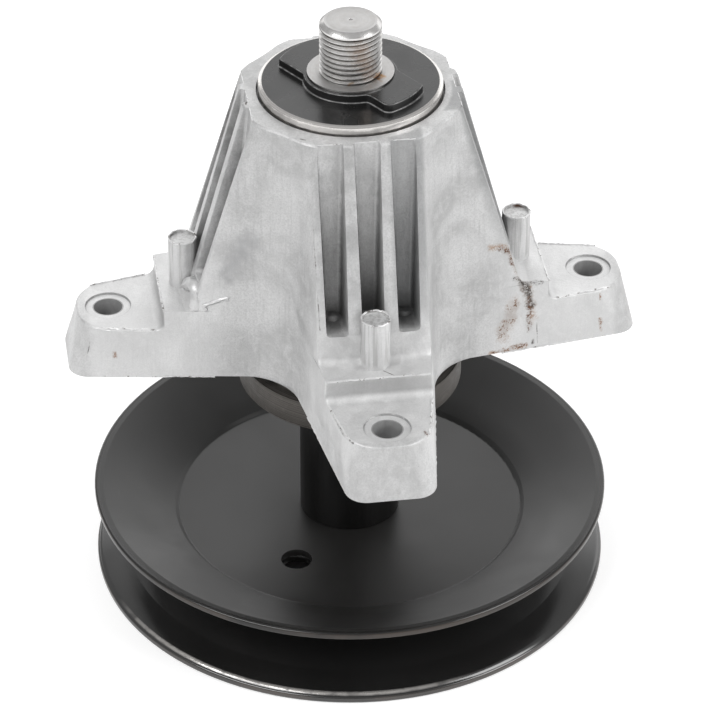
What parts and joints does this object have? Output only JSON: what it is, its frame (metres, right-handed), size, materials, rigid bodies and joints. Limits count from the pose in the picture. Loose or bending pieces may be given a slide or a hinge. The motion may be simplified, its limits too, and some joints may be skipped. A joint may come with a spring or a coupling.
{
  "type": "mower deck spindle",
  "caption": "Belt-driven blade spindle for a mower deck: ribbed four-footed cast housing, threaded shaft with drive adapter, sheet pulley.",
  "frame": {"origin": "on the turning axis in the plane of the pulley's lower rim, the lowest point of the part", "axes": "+Z along the turning axis towards the blade thread; the four feet point along +X, +Y, -X and -Y"},
  "size_m": [0.1508, 0.1508, 0.1648],
  "materials": {
    "cast_aluminium": "die-cast, satin, lightly stained",
    "turned_steel": "turned bright steel",
    "black_paint": "semi-gloss black",
    "pulley_paint": "satin black",
    "zinc_plate": "zinc plated",
    "bearing_steel": "ground",
    "cage_polyamide": "moulded polyamide",
    "seal_rubber": "moulded nitrile"
  },
  "bodies": {
    "housing": {"spindle_housing": "cast_aluminium", "upper_bearing_outer_ring": "bearing_steel", "upper_bearing_lower_seal": "seal_rubber", "upper_bearing_upper_seal": "seal_rubber", "lower_bearing_outer_ring": "bearing_steel", "lower_bearing_lower_seal": "seal_rubber", "lower_bearing_upper_seal": "seal_rubber"},
    "rotor": {"spindle_shaft": "turned_steel", "blade_adapter": "black_paint", "upper_bearing_inner_ring": "bearing_steel", "lower_bearing_inner_ring": "bearing_steel", "bearing_sleeve": "turned_steel", "spacer_tube": "black_paint", "pulley_upper_half": "pulley_paint", "pulley_lower_half": "pulley_paint", "washer": "zinc_plate", "lock_nut": "zinc_plate"},
    "upper_cage": {"upper_bearing_balls": "bearing_steel", "upper_bearing_cage": "cage_polyamide"},
    "lower_cage": {"lower_bearing_balls": "bearing_steel", "lower_bearing_cage": "cage_polyamide"}
  },
  "joints": [
    {"name": "spindle_spin", "type": "hinge", "parent": "housing", "child": "rotor", "pos_m": [0, 0, 0], "axis": [0, 0, 1], "continuous": true},
    {"name": "upper_cage_spin", "type": "hinge", "parent": "housing", "child": "upper_cage", "pos_m": [0, 0, 0.136], "axis": [0, 0, 1], "continuous": true},
    {"name": "lower_cage_spin", "type": "hinge", "parent": "housing", "child": "lower_cage", "pos_m": [0, 0, 0.066], "axis": [0, 0, 1], "continuous": true}
  ],
  "couplings": [
    {"joint": "upper_cage_spin", "follows": "spindle_spin", "ratio": 0.38152},
    {"joint": "lower_cage_spin", "follows": "spindle_spin", "ratio": 0.38152}
  ]
}
